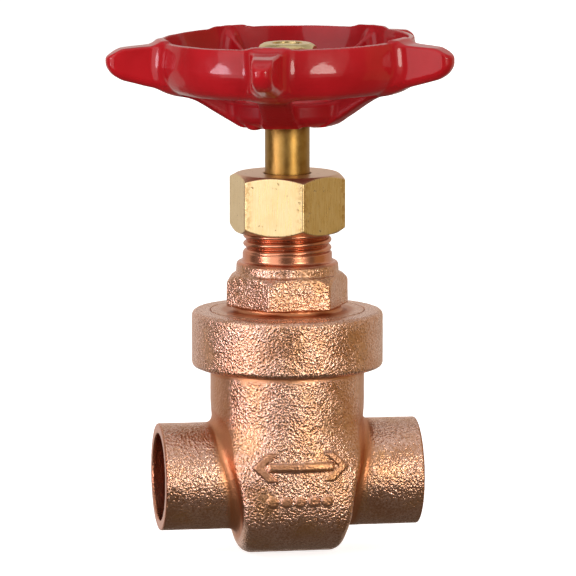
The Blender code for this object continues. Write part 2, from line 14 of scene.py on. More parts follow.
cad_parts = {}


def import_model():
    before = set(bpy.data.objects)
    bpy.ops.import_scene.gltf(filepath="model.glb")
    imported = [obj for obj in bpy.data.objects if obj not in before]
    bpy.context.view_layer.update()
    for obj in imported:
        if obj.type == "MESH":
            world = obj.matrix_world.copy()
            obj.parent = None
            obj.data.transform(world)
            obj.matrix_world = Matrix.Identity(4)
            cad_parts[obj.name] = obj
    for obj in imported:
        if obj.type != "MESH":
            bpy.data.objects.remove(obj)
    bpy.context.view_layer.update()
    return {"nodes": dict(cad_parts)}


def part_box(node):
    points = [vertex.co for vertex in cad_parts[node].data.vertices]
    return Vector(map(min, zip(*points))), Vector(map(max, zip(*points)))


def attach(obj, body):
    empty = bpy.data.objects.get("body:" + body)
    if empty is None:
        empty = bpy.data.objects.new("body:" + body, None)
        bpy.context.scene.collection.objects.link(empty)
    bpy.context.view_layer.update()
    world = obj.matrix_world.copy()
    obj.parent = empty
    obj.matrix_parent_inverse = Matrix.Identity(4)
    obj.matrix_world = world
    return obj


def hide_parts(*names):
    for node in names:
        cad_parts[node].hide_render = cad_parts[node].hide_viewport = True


MM = 0.001

# ---------------------------------------------------------------- sizes
# Body
NECK_RADIUS = 14.15 * MM
NECK_LOW = 11.0 * MM
FLANK_HALF_WIDTH = 11.1 * MM  # at the pipe's axis
FLANK_SLOPE = 0.277  # outwards for each metre up
FLANK_EDGE = 1.1 * MM
BOTTOM_HALF_WIDTH = 9.6 * MM
FRONT_ROUNDNESS = 0.6  # of the front and back below the neck, where 1 is a circle
UNDERSIDE_RADIUS = 16.15 * MM
UNDERSIDE_CENTRE = 1.8 * MM
UNDERSIDE_EDGE = 2.4 * MM
CUP_RADIUS = 9.9 * MM
CUP_BORE = 8.0 * MM
CUP_DEPTH = 12.7 * MM
PORT_RADIUS = 6.35 * MM
JUNCTION_FILLET = 1.6 * MM
RING_FILLET = 0.7 * MM
MARK_HEIGHT = 0.5 * MM
DOT_PLACES = (-5.0 * MM, -2.5 * MM, 0.0 * MM, 2.5 * MM, 5.0 * MM)
DOT_RADIUS = 0.9 * MM
RING_RADIUS = 17.55 * MM
RING_LOW = 20.0 * MM
SKIN = 0.06 * MM  # castings are meshed this much under size, to leave room for their rough skin
COUNTERBORE_RADIUS = 14.1 * MM
COUNTERBORE_FLOOR = 27.6 * MM
THREADED_RADIUS = 12.35 * MM
THREADED_LOW = 20.8 * MM
CHAMBER_RADIUS = 11.5 * MM
CHAMBER_LOW = 8.2 * MM
RIB_HALF = 1.1 * MM
RIB_INNER = 7.4 * MM  # from the stem's axis
RIB_TOP = 19 * MM
SEAT_TILT = math.tan(math.radians(5.0))
SEAT_GAP = 5.9 * MM
SEAT_RADIUS = 7.95 * MM
POCKET_RELIEF = 1.2 * MM
POCKET_RADIUS = 11.0 * MM

# Bonnet
FLANGE_RADIUS = 14.06 * MM
FLANGE_LOW = 29.0 * MM
WASHER_FACE_RADIUS = 9.9 * MM
BONNET_HEX = (31.3 * MM, 37.3 * MM, 10.0 * MM, math.radians(3.3))  # low, high, half flats, turn
HEX_DRAFT = 0.012
HEX_CHAMFER_RADIUS = 10.15 * MM
HEX_CHAMFER_SLOPE = (0.68, 0.73)  # shares of out and up
BOSS_RADIUS = 9.5 * MM
BOSS_TOP = 39.6 * MM
COLLAR_RADIUS = 8.2 * MM
COLLAR_TOP = 41.3 * MM
NUT_PITCH = 1.5 * MM
NUT_CREST = 8.1 * MM
NUT_ROOT = 7.35 * MM
SKIRT_RADIUS = 11.1 * MM
DOME_RADIUS = 9.25 * MM
DOME_TOP = 27.0 * MM
STEM_HOLE_RADIUS = 4.15 * MM
STUFFING_RADIUS = 6.1 * MM
STUFFING_FLOOR = 40.0 * MM

# Packing nut
PACKING_HEX = (44.9 * MM, 55.7 * MM, 9.5 * MM, math.radians(35.8))
PACKING_TOP_CHAMFER = (9.25 * MM, math.radians(29))  # radius where it starts, lean
PACKING_LOW_CHAMFER = (9.45 * MM, math.radians(36))
PACKING_NUT_ROOF = 53.8 * MM
NUT_GAP = 0.3 * MM  # round the thread and the stem

# Stem
STEM_RADIUS = 4.1 * MM
SCREW_PITCH = 2.5 * MM
SCREW_ROOT = 2.8 * MM
SCREW_DEPTH = 0.9 * MM
SQUARE_HALF = 2.9 * MM

# Handwheel
LOBES = 5
FIRST_LOBE = math.radians(-107.7)
LOBE_ROOT = 21 * MM
LOBE_TIP = 33.45 * MM
SPOKE_HALF = 2.7 * MM
WINDOW = (11.0 * MM, 19.9 * MM)  # from and to which radius
ENAMEL_ROOM = 0.1 * MM  # the wheel is meshed this much under size, for the waves in its enamel
WHEEL_LEAN = math.radians(0.9)
WHEEL_DROP = 0.15 * MM
WHEEL_NUT_HALF = 5.0 * MM
WHEEL_NUT_TURN = math.radians(11.5)
WHEEL_NUT_CHAMFER = (4.7 * MM, math.radians(30))

# Camera
VIEW_AZIMUTH = math.radians(-9.7)
VIEW_ELEVATION = math.radians(8.1)
VIEW_DISTANCE = 1.11
LENS = 378.75

# Studio, in metres
LIGHT_DISTANCE = 0.8
LIGHT_TARGET = Vector((0, 0, 0.035))
FLOOR_RADIUS = 2.0
SWEEP_BEND = 1.5
WALL_HEIGHT = 3.0
SWEEP_SIDES = 96
SWEEP_STEPS = 24

# How fine the meshes are
BODY_STEP = 0.30 * MM
BONNET_STEP = 0.22 * MM
NUT_STEP = 0.20 * MM
WHEEL_STEP = 0.30 * MM
WHEEL_NUT_STEP = 0.12 * MM
STEM_SIDES = 96


# ---------------------------------------------------------------- distance fields
def fillet(a, b, radius):
    """Union of two solids, the inner corner between them filled to that radius."""
    low = np.maximum(radius, np.minimum(a, b))
    return low - np.hypot(np.maximum(radius - a, 0), np.maximum(radius - b, 0))


def meet(a, b, radius):
    """What two solids share, the edge between them rounded to that radius."""
    high = np.minimum(-radius, np.maximum(a, b))
    return high + np.hypot(np.maximum(radius + a, 0), np.maximum(radius + b, 0))


def carve(a, b, radius):
    """Solid a without b, the edge rounded."""
    return meet(a, -b, radius)


def lower_of(a, b, soft):
    """The lower of two values, with a gradual change from one to the other."""
    return np.minimum(a, b) - np.maximum(soft - np.abs(a - b), 0) ** 2 / (4 * soft)


def slab(value, low, high):
    """Distance to the space between two parallel planes."""
    return np.maximum(low - value, value - high)


def round_slab(radial, height, radius, low, high, edge):
    """Disc or cylinder about an axis, with rounded edges."""
    return meet(radial - radius, slab(height, low, high), edge)


def chamfer(around, over, start, lean):
    """Cone that cuts off the edge of an end face. over is the height past that face."""
    return (around - start) * math.sin(lean) + over * math.cos(lean)


def blend_step(value, low, high):
    """0 below low, 1 above high, smooth between them."""
    share = np.clip((value - low) / (high - low), 0, 1)
    return share * share * (3 - 2 * share)


def hexagon(x, y, half_flats, turn, edge):
    """Distance to the sides of a hexagonal bar, its first corner at that turn."""
    angle = np.arctan2(y, x) - turn
    sector = np.pi / 3
    angle = np.abs(np.mod(angle, sector) - sector / 2)
    radius = np.hypot(x, y)
    across, along = radius * np.cos(angle), radius * np.sin(angle)
    other = across * math.cos(sector) + along * math.sin(sector)
    return meet(across - half_flats, other - half_flats, edge)


def thread_height(x, y, z, pitch, hand, sharpness):
    """1 on the crest of a helical thread and 0 in its root."""
    turn = np.arctan2(y, x) / (2 * np.pi)
    phase = z / pitch - hand * turn
    return np.abs(np.cos(np.pi * phase)) ** sharpness


def scatter(cell, seed):
    """A repeatable number from -1 to 1 for each whole-number grid corner."""
    mixed = cell[:, 0] * 73856093 ^ cell[:, 1] * 19349663 ^ cell[:, 2] * 83492791 ^ seed * 2654435
    mixed &= 0x7FFFFFF
    mixed = (mixed ^ (mixed >> 13)) * 1274126177 & 0x7FFFFFFF
    return (mixed ^ (mixed >> 16)) % 65536 / 32768.0 - 1


def noise(p, size, seed):
    """Smooth noise from -1 to 1 with features of that size."""
    q = p / size
    cell = np.floor(q).astype(np.int64)
    share = q - cell
    share = share * share * (3 - 2 * share)
    total = np.zeros(len(p))
    for corner in range(8):
        bits = np.array([corner >> axis & 1 for axis in range(3)])
        weight = np.prod(np.where(bits, share, 1 - share), axis=1)
        total += weight * scatter(cell + bits, seed)
    return total


def outline_distance(across, up, corners):
    """Distance to a closed outline, negative inside it."""
    best = np.full(across.shape, np.inf)
    inside = np.zeros(across.shape, bool)
    for (ax, ay), (bx, by) in zip(corners, corners[1:] + corners[:1]):
        ex, ey = bx - ax, by - ay
        share = np.clip(((across - ax) * ex + (up - ay) * ey) / (ex * ex + ey * ey), 0, 1)
        best = np.minimum(best, (across - ax - ex * share) ** 2 + (up - ay - ey * share) ** 2)
        if ey:
            inside ^= ((ay > up) != (by > up)) & (across < ax + ex * (up - ay) / ey)
    return np.where(inside, -1, 1) * np.sqrt(best)


def softened(corners, rounds=2):
    """The outline with its corners cut off again and again, which rounds them."""
    for _ in range(rounds):
        pairs = zip(corners, corners[1:] + corners[:1])
        cut = []
        for (ax, ay), (bx, by) in pairs:
            cut.append((ax + 0.25 * (bx - ax), ay + 0.25 * (by - ay)))
            cut.append((ax + 0.75 * (bx - ax), ay + 0.75 * (by - ay)))
        corners = cut
    return corners


# ---------------------------------------------------------------- meshing
def grid_of(size):
    """Whole-number places of a grid of that size, one row each."""
    return np.stack(np.meshgrid(*map(np.arange, size), indexing="ij"), -1).reshape(-1, 3)


def sample(distance, low, high, step):
    """Distances on a grid of points. Blocks far from the surface only get a rough value."""
    block, reach, batch = 6, 1.1, 800
    blocks = np.ceil((high - low) / (step * block)).astype(int)
    index = grid_of(blocks)
    rough = distance(low + (index + 0.5) * block * step)
    field = rough.reshape(blocks)
    for axis in range(3):
        field = field.repeat(block, axis)
    near = index[np.abs(rough) < reach * block * step]
    inner = grid_of((block, block, block))
    for part in np.array_split(near, len(near) // batch + 1):
        cells = (part[:, None] * block + inner).reshape(-1, 3)
        field[tuple(cells.T)] = distance(low + cells * step)
    return field


def surface_net(field):
    """Points, in grid units, and four-sided faces where the field changes sign. Each cell that
    the surface crosses gets one point, at the mean of its crossings."""
    size = np.array(field.shape)
    quads, sums = [], []
    for axis in range(3):
        u, v = (axis + 1) % 3, (axis + 2) % 3
        near = np.moveaxis(field, axis, 0)[:-1]
        far = np.moveaxis(field, axis, 0)[1:]
        start = np.argwhere(np.moveaxis((near < 0) != (far < 0), 0, axis))
        start = start[(start[:, u] > 0) & (start[:, v] > 0)]
        after = start.copy()
        after[:, axis] += 1
        first, last = field[tuple(start.T)], field[tuple(after.T)]
        point = start.astype(float)
        point[:, axis] += first / (first - last)
        around = []
        for du, dv in ((0, 0), (1, 0), (1, 1), (0, 1)):
            cell = start.copy()
            cell[:, u] -= du
            cell[:, v] -= dv
            around.append(np.ravel_multi_index(cell.T, size))
            sums.append(point)
        quad = np.stack(around, 1)
        outward = (first < 0)[:, None]
        quads.append((np.where(outward, quad, quad[:, ::-1]), quad.T.ravel()))
    faces = np.concatenate([q for q, _ in quads])
    cells, number = np.unique(np.concatenate([c for _, c in quads]), return_inverse=True)
    points = np.concatenate(sums)
    count = np.bincount(number)
    mean = np.stack([np.bincount(number, points[:, k]) / count for k in range(3)], 1)
    return mean, np.searchsorted(cells, faces)


def slope(distance, p, reach):
    """Which way the distance grows fastest at each point, by central differences."""
    made = []
    for axis in range(3):
        move = np.zeros(3)
        move[axis] = reach
        made.append((distance(p + move) - distance(p - move)) / (2 * reach))
    return np.stack(made, 1)


def mesh_object(name, points, faces, material, body, *nodes):
    """Smooth-shaded mesh that rides on a body and stands for those CAD nodes."""
    mesh = bpy.data.meshes.new(name)
    mesh.from_pydata(points, [], faces)
    mesh.materials.append(material)
    mesh.shade_smooth()
    made = bpy.data.objects.new(name, mesh)
    bpy.context.scene.collection.objects.link(made)
    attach(made, body)
    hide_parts(*nodes)
    return made


def solid(name, distance, node, step, material, body, relief=None, paint=()):
    """Mesh of the space where distance(points) is negative, in the room of that CAD node. relief
    gives how far its skin stands out at each point. Each (name, function) in paint becomes a
    number on every point, which the material can read."""
    low, high = (np.array(corner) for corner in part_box(node))
    low, high = low - 3 * step, high + 3 * step
    points, faces = surface_net(sample(distance, low, high, step))
    points = low + points * step

    def skin(p):
        return distance(p) - relief(p) if relief else distance(p)

    # Pull the points onto the surface, by less than half a step each time.
    for _ in range(2):
        grad = slope(distance, points, step / 6)
        steep = np.maximum((grad**2).sum(1), 0.25)
        move = grad * (distance(points) / steep)[:, None]
        size = np.linalg.norm(move, axis=1)[:, None]
        points -= move * np.minimum(1, 0.45 * step / np.maximum(size, 1e-12))
    if relief:
        grad = slope(distance, points, step / 6)
        length = np.maximum(np.linalg.norm(grad, axis=1), 0.5)[:, None]
        points += grad / length * relief(points)[:, None]
    # Shading follows the skin itself, which is finer than the mesh.
    grad = slope(skin, points, step / 4)
    normals = grad / np.maximum(np.linalg.norm(grad, axis=1), 1e-9)[:, None]
    made = mesh_object(name, points, faces, material, body, node)
    made.data.normals_split_custom_set_from_vertices(normals)
    for label, measure in paint:
        layer = made.data.attributes.new(label, "FLOAT", "POINT")
        layer.data.foreach_set("value", measure(points).astype(np.float32))
    return made


def column(name, radius_at, levels, segments, material, body, *nodes):
    """Solid about the stem's axis. levels are (height, shape) from the bottom up, and
    radius_at(x, y, z, shape) gives the radius in the directions x, y at that height."""
    angles = 2 * np.pi * np.arange(segments) / segments
    x, y = np.cos(angles), np.sin(angles)
    points = []
    for height, shape in levels:
        z = np.full(segments, height)
        radius = radius_at(x, y, z, shape)
        points.append(np.stack([x * radius, y * radius, z], 1))
    points = np.concatenate(points)
    around = np.arange(segments)
    after = (around + 1) % segments
    faces = []
    for k in range(len(levels) - 1):
        low, high = k * segments, (k + 1) * segments
        ring = np.stack([low + around, low + after, high + after, high + around], 1)
        faces.extend(ring.tolist())
    faces.append(around[::-1].tolist())
    faces.append((around + (len(levels) - 1) * segments).tolist())
    made = mesh_object(name, points.tolist(), faces, material, body, *nodes)
    made.data.set_sharp_from_angle(angle=math.radians(40))
    return made


# ---------------------------------------------------------------- body
def casting(x, y, z):
    """Main body: a round neck, below it a flatter front and back between flanks that lean in,
    and a rounded underside."""
    flank = FLANK_HALF_WIDTH + FLANK_SLOPE * z
    flank = -lower_of(-flank, -BOTTOM_HALF_WIDTH, 2.2 * MM)
    flat = FRONT_ROUNDNESS + (1 - FRONT_ROUNDNESS) * blend_step(z, 0, NECK_LOW)
    across = np.maximum(np.hypot(flat * x, y), 1e-6)
    steep = np.maximum(np.hypot(flat**2 * x, y), 0.5 * across)
    front = (across - NECK_RADIUS) * across / steep
    side = meet(front, (np.abs(x) - flank) / 1.03, FLANK_EDGE)
    under = np.hypot(y, z - UNDERSIDE_CENTRE) - UNDERSIDE_RADIUS
    under = np.where(z < 0, under, -RING_RADIUS)
    return np.maximum(meet(side, under, UNDERSIDE_EDGE), z - (RING_LOW + 1 * MM))


def cups(x, y, z):
    """Both solder cups from outside, one bar from end to end."""
    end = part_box("body")[1].x
    return meet(np.hypot(y, z) - CUP_RADIUS, np.abs(x) - end, 0.35 * MM)


def ring(x, y, z):
    """Thick ring round the bonnet's flange."""
    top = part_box("body")[1].z
    return round_slab(np.hypot(x, y), z, RING_RADIUS, RING_LOW, top, 1.0 * MM)


def flow_arrow(x, z):
    """Double-headed arrow and a row of dots, seen from the front."""
    along = np.abs(x - 0.2 * MM)
    up = z - 3.4 * MM
    shaft = np.maximum(along - 6.0 * MM, np.abs(up) - 0.65 * MM)
    back = along + np.abs(up) * 1.05
    head = np.maximum(np.abs(back - 7.9 * MM) - 0.9 * MM, np.abs(up) - 2.6 * MM)
    dots = np.inf
    for place in DOT_PLACES:
        dots = np.minimum(dots, np.hypot(x - place, z + 3.0 * MM) - DOT_RADIUS)
    return np.minimum(np.minimum(shaft, head), dots)


def body_cavity(x, y, z):
    """Waterway, wedge pocket with its seats and guide ribs, bonnet chamber and counterbore."""
    across = np.hypot(y, z)
    around = np.hypot(x, y)
    wall = SEAT_GAP + z * SEAT_TILT
    pocket = np.where(z < 0, across, np.abs(y)) - POCKET_RADIUS
    pocket = np.maximum(pocket, np.abs(x) - wall - POCKET_RELIEF)
    pocket = np.maximum(pocket, z - NECK_LOW - 1 * MM)
    seat = np.maximum(across - SEAT_RADIUS, wall - np.abs(x))
    roof = COUNTERBORE_FLOOR + 1 * MM
    chamber = np.maximum(around - CHAMBER_RADIUS, slab(z, CHAMBER_LOW, roof))
    threaded = np.maximum(around - THREADED_RADIUS, slab(z, THREADED_LOW, roof))
    hollow = np.minimum(np.minimum(np.maximum(pocket, -seat), chamber), threaded)
    rib = np.maximum(np.abs(x) - RIB_HALF, RIB_INNER - np.abs(y))
    rib = np.maximum(rib, z - RIB_TOP)
    hollow = np.maximum(hollow, -rib)
    counterbore = np.maximum(around - COUNTERBORE_RADIUS, COUNTERBORE_FLOOR - z)
    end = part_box("body")[1].x
    bore = np.maximum(across - CUP_BORE, end - CUP_DEPTH - np.abs(x))
    port = np.maximum(across - PORT_RADIUS, SEAT_GAP - 2 * MM - np.abs(x))
    return np.minimum(np.minimum(hollow, counterbore), np.minimum(bore, port))


def cast_body(p):
    """Outside of the whole body casting."""
    x, y, z = p.T
    shell = fillet(casting(x, y, z), cups(x, y, z), JUNCTION_FILLET)
    return fillet(shell, ring(x, y, z), RING_FILLET)


def body_distance(p):
    """The body casting with its inside cut out."""
    x, y, z = p.T
    return carve(cast_body(p) + SKIN, body_cavity(x, y, z), 0.12 * MM)


def casting_skin(p):
    """Uneven skin that the sand left."""
    return (0.022 * noise(p, 0.95 * MM, 1) + 0.04 * noise(p, 3.7 * MM, 2)) * MM


def raised_marks(p):
    """1 on top of the raised arrow and dots, 0 beside them."""
    x, y, z = p.T
    return (1 - blend_step(flow_arrow(x, z), -0.2 * MM, 0.25 * MM)) * (y < -4 * MM)


def body_relief(p):
    """Skin of the casting and the raised marks on its front, nothing on cut faces."""
    return (casting_skin(p) + MARK_HEIGHT * raised_marks(p)) * (1 - body_machined(p))


def body_fillets(p):
    """Where the castings run into each other and stayed smooth, and less so flanks and marks. In the joins
    the bronze is also painted a darker orange as painted shade.
    """
    x, y, z = p.T
    main, cup, collar = casting(x, y, z), cups(x, y, z), ring(x, y, z)
    junction = np.minimum(main, cup) - fillet(main, cup, 3.4 * MM)
    under_ring = np.minimum(main, collar) - fillet(main, collar, 1.6 * MM)
    flank = blend_step(np.abs(x), 11.2 * MM, 12.6 * MM) * (main < 0.4 * MM) * (z < 20 * MM)
    calm = 0.6 * np.maximum(flank, raised_marks(p))
    return np.clip(junction / (0.5 * MM) + under_ring / (0.3 * MM) + calm, 0, 1)


def body_machined(p):
    """Where the casting was cut: bores, cup ends and everything inside."""
    x, y, z = p.T
    inside = 1 - blend_step(body_cavity(x, y, z), 0.05 * MM, 0.25 * MM)
    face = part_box("body")[1].x
    end = blend_step(np.abs(x), face - 0.35 * MM, face - 0.1 * MM)
    return np.maximum(0.8 * inside, end)


# ---------------------------------------------------------------- bonnet
def bonnet_outside(p):
    """Flange, washer face, hexagon, boss, collar, outside thread and the skirt in the body."""
    x, y, z = p.T
    around = np.hypot(x, y)
    low, high, half, turn = BONNET_HEX
    bottom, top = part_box("bonnet")[0].z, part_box("bonnet")[1].z
    flange_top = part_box("body")[1].z
    flange = round_slab(around, z, FLANGE_RADIUS, FLANGE_LOW, flange_top, 0.08 * MM)
    washer = round_slab(around, z, WASHER_FACE_RADIUS, FLANGE_LOW, low + 1 * MM, 0.1 * MM)
    made = fillet(flange, washer, 0.55 * MM)
    draft = HEX_DRAFT * (z - low)
    hexagonal = meet(hexagon(x, y, half - draft, turn, 0.3 * MM), low - z, 0.3 * MM)
    out, up = HEX_CHAMFER_SLOPE
    cone = (around - HEX_CHAMFER_RADIUS) * out + (z - high) * up
    hexagonal = meet(hexagonal, np.maximum(z - high, cone), 0.45 * MM)
    made = fillet(made, hexagonal, 0.15 * MM)
    boss = round_slab(around + 0.06 * (z - high), z, BOSS_RADIUS, low + 1 * MM, BOSS_TOP, 0.7 * MM)
    made = fillet(made, boss, 0.45 * MM)
    made = made + SKIN * blend_step(z, flange_top + 0.3 * MM, flange_top + 1 * MM)
    collar = round_slab(around, z, COLLAR_RADIUS, BOSS_TOP - 2 * MM, COLLAR_TOP, 0.3 * MM)
    made = fillet(made, collar, 0.5 * MM)
    crest = NUT_ROOT + (NUT_CREST - NUT_ROOT) * thread_height(x, y, z, NUT_PITCH, 1, 0.8)
    crest = crest - 0.7 * MM * blend_step(z, top - 0.9 * MM, top)  # run-in at the top
    thread = np.maximum(around - crest, slab(z, COLLAR_TOP - 1 * MM, top))
    made = np.minimum(made, thread)
    skirt = np.maximum(around - SKIRT_RADIUS, slab(z, bottom, FLANGE_LOW + 0.5 * MM))
    return np.minimum(made, skirt)


def bonnet_distance(p):
    """The bonnet with its dome, the stem's hole and the stuffing box cut out."""
    x, y, z = p.T
    around = np.hypot(x, y)
    dome = np.maximum(around - DOME_RADIUS, z - DOME_TOP)
    hole = around - STEM_HOLE_RADIUS
    stuffing = np.maximum(around - STUFFING_RADIUS, STUFFING_FLOOR - z)
    return carve(bonnet_outside(p), np.minimum(np.minimum(dome, hole), stuffing), 0.2 * MM)


def bonnet_relief(p):
    """Skin of the casting where it wasn't cut and isn't smooth."""
    return casting_skin(p) * (1 - bonnet_machined(p)) * (1 - bonnet_smooth_and_shade(p))


def bonnet_machined(p):
    """Where the bonnet was turned: collar, thread, bores and the side that faces the body."""
    x, y, z = p.T
    around = np.hypot(x, y)
    above = blend_step(z, BOSS_TOP - 0.75 * MM, BOSS_TOP - 0.35 * MM)
    inside = (around < 6.6 * MM) | (z < FLANGE_LOW + 0.3 * MM)
    return np.maximum(above, inside)


def bonnet_smooth_and_shade(p):
    """The washer face and the flange round it, which stayed smooth near the hexagon. The bronze is painted
    a darker orange there as painted shade under the hexagon.
    """
    x, y, z = p.T
    low = BONNET_HEX[0]
    near = 1 - 0.75 * blend_step(np.hypot(x, y), 11.4 * MM, 12.8 * MM)
    return near * (1 - blend_step(z, low - 0.1 * MM, low + 0.25 * MM))


# ---------------------------------------------------------------- packing nut
def packing_nut_distance(p):
    """Hexagon nut, chamfered at both ends, with its thread's bore and the stem's hole."""
    x, y, z = p.T
    around = np.hypot(x, y)
    low, high, half, turn = PACKING_HEX
    bar = hexagon(x, y, half, turn, 0.18 * MM)
    made = meet(bar, slab(z, low, high), 0.12 * MM)
    top = chamfer(around, z - high, *PACKING_TOP_CHAMFER)
    bottom = chamfer(around, low - z, *PACKING_LOW_CHAMFER)
    made = meet(made, np.maximum(top, bottom), 0.12 * MM)
    mouth = np.maximum(around - NUT_CREST - NUT_GAP, z - PACKING_NUT_ROOF)
    hole = around - STEM_RADIUS - NUT_GAP
    return carve(made, np.minimum(mouth, hole), 0.15 * MM)


def packing_nut_turned(p):
    """Where the hexagonal bar was turned: its end faces, chamfers and inside."""
    half, turn = PACKING_HEX[2:]
    return blend_step(-hexagon(p[:, 0], p[:, 1], half, turn, 0.1 * MM), 0.02 * MM, 0.10 * MM)


def packing_nut_corners(p):
    """1 along the edges between the flats and 0 in their middles."""
    angle = np.arctan2(p[:, 1], p[:, 0]) - PACKING_HEX[3]
    away = np.abs(np.mod(angle, np.pi / 3) - np.pi / 6)
    return blend_step(away, 0.36, 0.50)


# ---------------------------------------------------------------- handwheel
def wheel_outside():
    """Half outline of hub, web and rim without the bowl inside: (radius, height)."""
    corners = [(0, 0), (9.0, 0), (10.0, 0.7), (12.7, 2.3), (16.4, 4.7), (18.8, 5.7), (21.4, 6.5)]
    corners += [(23.0, 7.7), (23.95, 10.7), (23.85, 12.8), (23.6, 14.8), (23.2, 16.35), (0, 16.35)]
    return [(radius * MM, height * MM) for radius, height in corners]


def wheel_bowl():
    """Half outline of the bowl between hub and rim, and of the space above them."""
    corners = [(0, 8.7), (7.5, 8.7), (8.2, 5.6), (10.5, 4.2), (16.2, 7.6), (20.2, 9.2), (21.5, 11.5)]
    corners += [(22.1, 14.4), (22.5, 18), (22.5, 20), (0, 20)]
    return [(radius * MM, height * MM) for radius, height in corners]


def lobe(out, aside, up):
    """Grip lobe along one radius: deep at the rim and narrowing to an egg-shaped nose."""
    share = np.clip((out - LOBE_ROOT) / (LOBE_TIP - LOBE_ROOT), 0, 1)
    nose = blend_step(out, 30.0 * MM, 34.0 * MM)
    half_width = (1.95 + 1.35 * (1 - share) ** 1.4) * MM
    high = (15.75 - 1.0 * share - 1.3 * nose) * MM
    low = (6.6 + 3.2 * share**1.1 + 0.9 * nose) * MM
    made = meet(np.abs(aside) - half_width, out - LOBE_TIP, 1.8 * MM)
    made = meet(made, up - high, 0.65 * MM)
    return meet(made, low - up, 1.7 * MM)


def spoke_rib(out, aside, up):
    """Rib on top of a spoke, from the hub to the lip of the rim, narrow at its crest."""
    crest = (7.3 + 0.53 * (out / MM - 8)) * MM
    places, heights = np.array([9, 12.7, 16.4, 22]) * MM, np.array([0.5, 2.8, 5.3, 9]) * MM
    under = np.interp(out, places, heights)
    half_width = SPOKE_HALF - 0.1 * MM - 0.36 * (up - under)
    made = meet(np.abs(aside) - np.maximum(half_width, 0.3 * MM), up - crest, 0.3 * MM)
    made = np.maximum(made, under - up)
    return np.maximum(made, slab(out, 7 * MM, 22.6 * MM))


def level_wheel(p):
    """Points in the wheel's own frame: heights from the underside of its hub. The wheel sits a
    little askew on its square, which is a loose fit."""
    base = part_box("handwheel")[0].z - WHEEL_DROP
    axis = Vector((math.sin(VIEW_AZIMUTH), -math.cos(VIEW_AZIMUTH), 0))
    lean = Matrix.Rotation(WHEEL_LEAN, 3, axis)
    pivot = np.array([0, 0, base + 4 * MM])
    return (p - pivot) @ np.array(lean) + [0, 0, 4 * MM]


def handwheel_distance(p):
    """Dished wheel with its lobes, windows, ribs and square socket, and a dried drop of enamel
    under the hub."""
    x, y, up = level_wheel(p).T
    around, angle = np.hypot(x, y), np.arctan2(y, x)
    step = 2 * np.pi / LOBES
    turned = np.mod(angle - FIRST_LOBE + step / 2, step) - step / 2
    out, aside = around * np.cos(turned), around * np.sin(turned)
    made = outline_distance(around, up, softened(wheel_outside(), 2))
    made = fillet(made, lobe(out, aside, up), 2.0 * MM)
    made = carve(made, outline_distance(around, up, softened(wheel_bowl(), 2)), 0.25 * MM)
    window = meet(slab(around, *WINDOW), SPOKE_HALF - np.abs(aside), 1.3 * MM)
    made = carve(made, window, 0.9 * MM)
    made = fillet(made, spoke_rib(out, aside, up), 1.5 * MM)
    drop = np.stack([x + 6.9 * MM, y + 4.9 * MM, up - 0.3 * MM], 1) / [2.0, 1.2, 1.0]
    made = fillet(made, np.linalg.norm(drop, axis=1) - 0.8 * MM, 0.5 * MM)
    socket = np.maximum(np.abs(p[:, 0]), np.abs(p[:, 1])) - SQUARE_HALF - 0.3 * MM
    return carve(made + ENAMEL_ROOM, socket, 0.3 * MM)


def wheel_underside(p):
    """The windows and the underside between them, where the enamel is thin and dull and its colour is
    painted darker as shade.
    """
    x, y, up = level_wheel(p).T
    around = np.hypot(x, y)
    below = (1 - blend_step(up, 5.8 * MM, 7.2 * MM)) * blend_step(around, 9.4 * MM, 10.6 * MM)
    return below * (1 - blend_step(around, 20.5 * MM, 22.0 * MM))


def enamel_relief(p):
    """Slow waves where the thick enamel ran before it was fired."""
    return (0.06 * noise(p, 4.2 * MM, 11) + 0.03 * noise(p, 1.9 * MM, 12)) * MM


# ---------------------------------------------------------------- turned pieces
def stem_radius(x, y, z, shape):
    """Radius of the stem's square, screw or round lengths."""
    kind, radius = shape
    if kind == "square":
        return np.minimum(SQUARE_HALF / np.maximum(np.abs(x), np.abs(y)), radius)
    if kind == "screw":
        height = thread_height(x, y, z, SCREW_PITCH, -1, 1.0)
        return SCREW_ROOT + SCREW_DEPTH * np.clip(1.6 * height - 0.45, 0, 1)
    return np.full(len(x), radius)


def stem_levels():
    """From the bottom: screw, relief, collar, shank, square for the wheel and end for its nut."""
    low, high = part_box("stem")[0].z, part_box("stem")[1].z
    levels = [(low, ("round", 2.3 * MM)), (low + 0.2 * MM, ("round", 2.75 * MM))]
    steps = np.arange(low + 0.4 * MM, 26.7 * MM, 0.12 * MM)
    levels += [(height, ("screw", 0)) for height in steps]
    turned = [
        (26.75, 3.6), (27.0, 3.85), (40.3, 3.85), (40.35, 5.7), (40.45, 5.8), (42.35, 5.8),
        (42.45, 5.7), (42.5, 4.1), (55.0, 4.1), (60.0, 4.1), (64.2, 4.1), (64.45, 3.95),
    ]
    levels += [(height * MM, ("round", radius * MM)) for height, radius in turned]
    levels += [(64.5 * MM, ("square", 4.0 * MM)), (73.1 * MM, ("square", 4.0 * MM))]
    levels += [(73.15 * MM, ("round", 2.3 * MM)), (73.2 * MM, ("round", 2.2 * MM))]
    tip = high - 0.35 * MM
    levels += [(tip, ("round", 2.2 * MM)), (high, ("round", 1.85 * MM))]
    return levels


def wheel_nut_distance(p):
    """Small hexagon nut, chamfered on top, its thread's bore widened at the mouth."""
    x, y, z = p.T
    around = np.hypot(x, y)
    low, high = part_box("handwheel_nut")[0].z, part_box("handwheel_nut")[1].z
    bar = hexagon(x, y, WHEEL_NUT_HALF, WHEEL_NUT_TURN, 0.15 * MM)
    made = meet(bar, slab(z, low, high), 0.12 * MM)
    high -= 0.25 * MM
    made = meet(made, chamfer(around, z - high, *WHEEL_NUT_CHAMFER), 0.12 * MM)
    hole = around - 2.45 * MM - 0.35 * blend_step(z, high - 0.5 * MM, high) * MM
    return carve(made, hole, 0.12 * MM)


